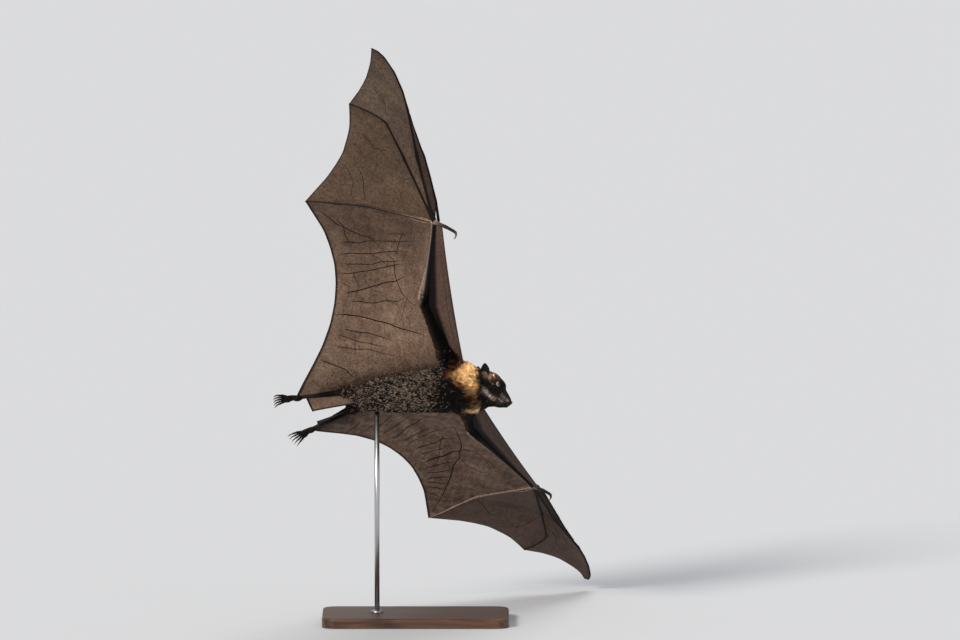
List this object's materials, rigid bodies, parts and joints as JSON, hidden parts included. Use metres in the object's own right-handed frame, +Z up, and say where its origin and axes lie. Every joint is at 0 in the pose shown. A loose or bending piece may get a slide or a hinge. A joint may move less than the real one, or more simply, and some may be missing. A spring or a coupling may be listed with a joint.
{
  "type": "flying fox in flight on a display stand",
  "caption": "Life-size still model of a golden-mantled flying fox banking in flight with its wings spread, held up by a rod on a flat wooden base.",
  "frame": {"origin": "centre of the underside of the stand's base, on the floor", "axes": "+Z up; +X the way the nose points; the belly and the raised right wing face -Y, and the lowered left wing reaches to +Y"},
  "size_m": [0.5107, 0.6607, 0.9468],
  "materials": {
    "body_coat": "short dense fur, dark with pale tips",
    "mantle_coat": "woolly golden fur",
    "face_coat": "short brown fur",
    "wing_skin": "thin bare skin, satin",
    "limb_skin": "bare skin over bone",
    "ear_skin": "thin dark skin",
    "nose_skin": "moist dark skin",
    "eye_brown": "wet, glossy",
    "claw_horn": "polished horn",
    "stand_wood": "dark, satin lacquer",
    "stand_steel": "brushed"
  },
  "bodies": {
    "root": {"arm_skin_left": "wing_skin", "arm_skin_right": "wing_skin", "calcar_left": "limb_skin", "calcar_right": "limb_skin", "ear_left": "ear_skin", "ear_right": "ear_skin", "eye_left": "eye_brown", "eye_right": "eye_brown", "finger2_left": "limb_skin", "finger2_right": "limb_skin", "finger3_left": "limb_skin", "finger3_right": "limb_skin", "finger4_left": "limb_skin", "finger4_right": "limb_skin", "finger5_left": "limb_skin", "finger5_right": "limb_skin", "foot_left": "limb_skin", "foot_right": "limb_skin", "forearm_left": "limb_skin", "forearm_right": "limb_skin", "hand_skin_edge_left": "wing_skin", "hand_skin_edge_right": "wing_skin", "hand_skin_fore_left": "wing_skin", "hand_skin_fore_right": "wing_skin", "hand_skin_rear_left": "wing_skin", "hand_skin_rear_right": "wing_skin", "head": "face_coat", "leading_skin_left": "wing_skin", "leading_skin_right": "wing_skin", "neck": "mantle_coat", "nose": "nose_skin", "shin_left": "limb_skin", "shin_right": "limb_skin", "stand_base": "stand_wood", "stand_rod": "stand_steel", "tail_skin_left": "wing_skin", "tail_skin_right": "wing_skin", "thumb_claw_left": "claw_horn", "thumb_claw_right": "claw_horn", "thumb_left": "limb_skin", "thumb_right": "limb_skin", "toe_claw1_left": "claw_horn", "toe_claw1_right": "claw_horn", "toe_claw2_left": "claw_horn", "toe_claw2_right": "claw_horn", "toe_claw3_left": "claw_horn", "toe_claw3_right": "claw_horn", "toe_claw4_left": "claw_horn", "toe_claw4_right": "claw_horn", "toe_claw5_left": "claw_horn", "toe_claw5_right": "claw_horn", "trunk": "body_coat", "upper_arm_left": "body_coat", "upper_arm_right": "body_coat"}
  },
  "joints": []
}
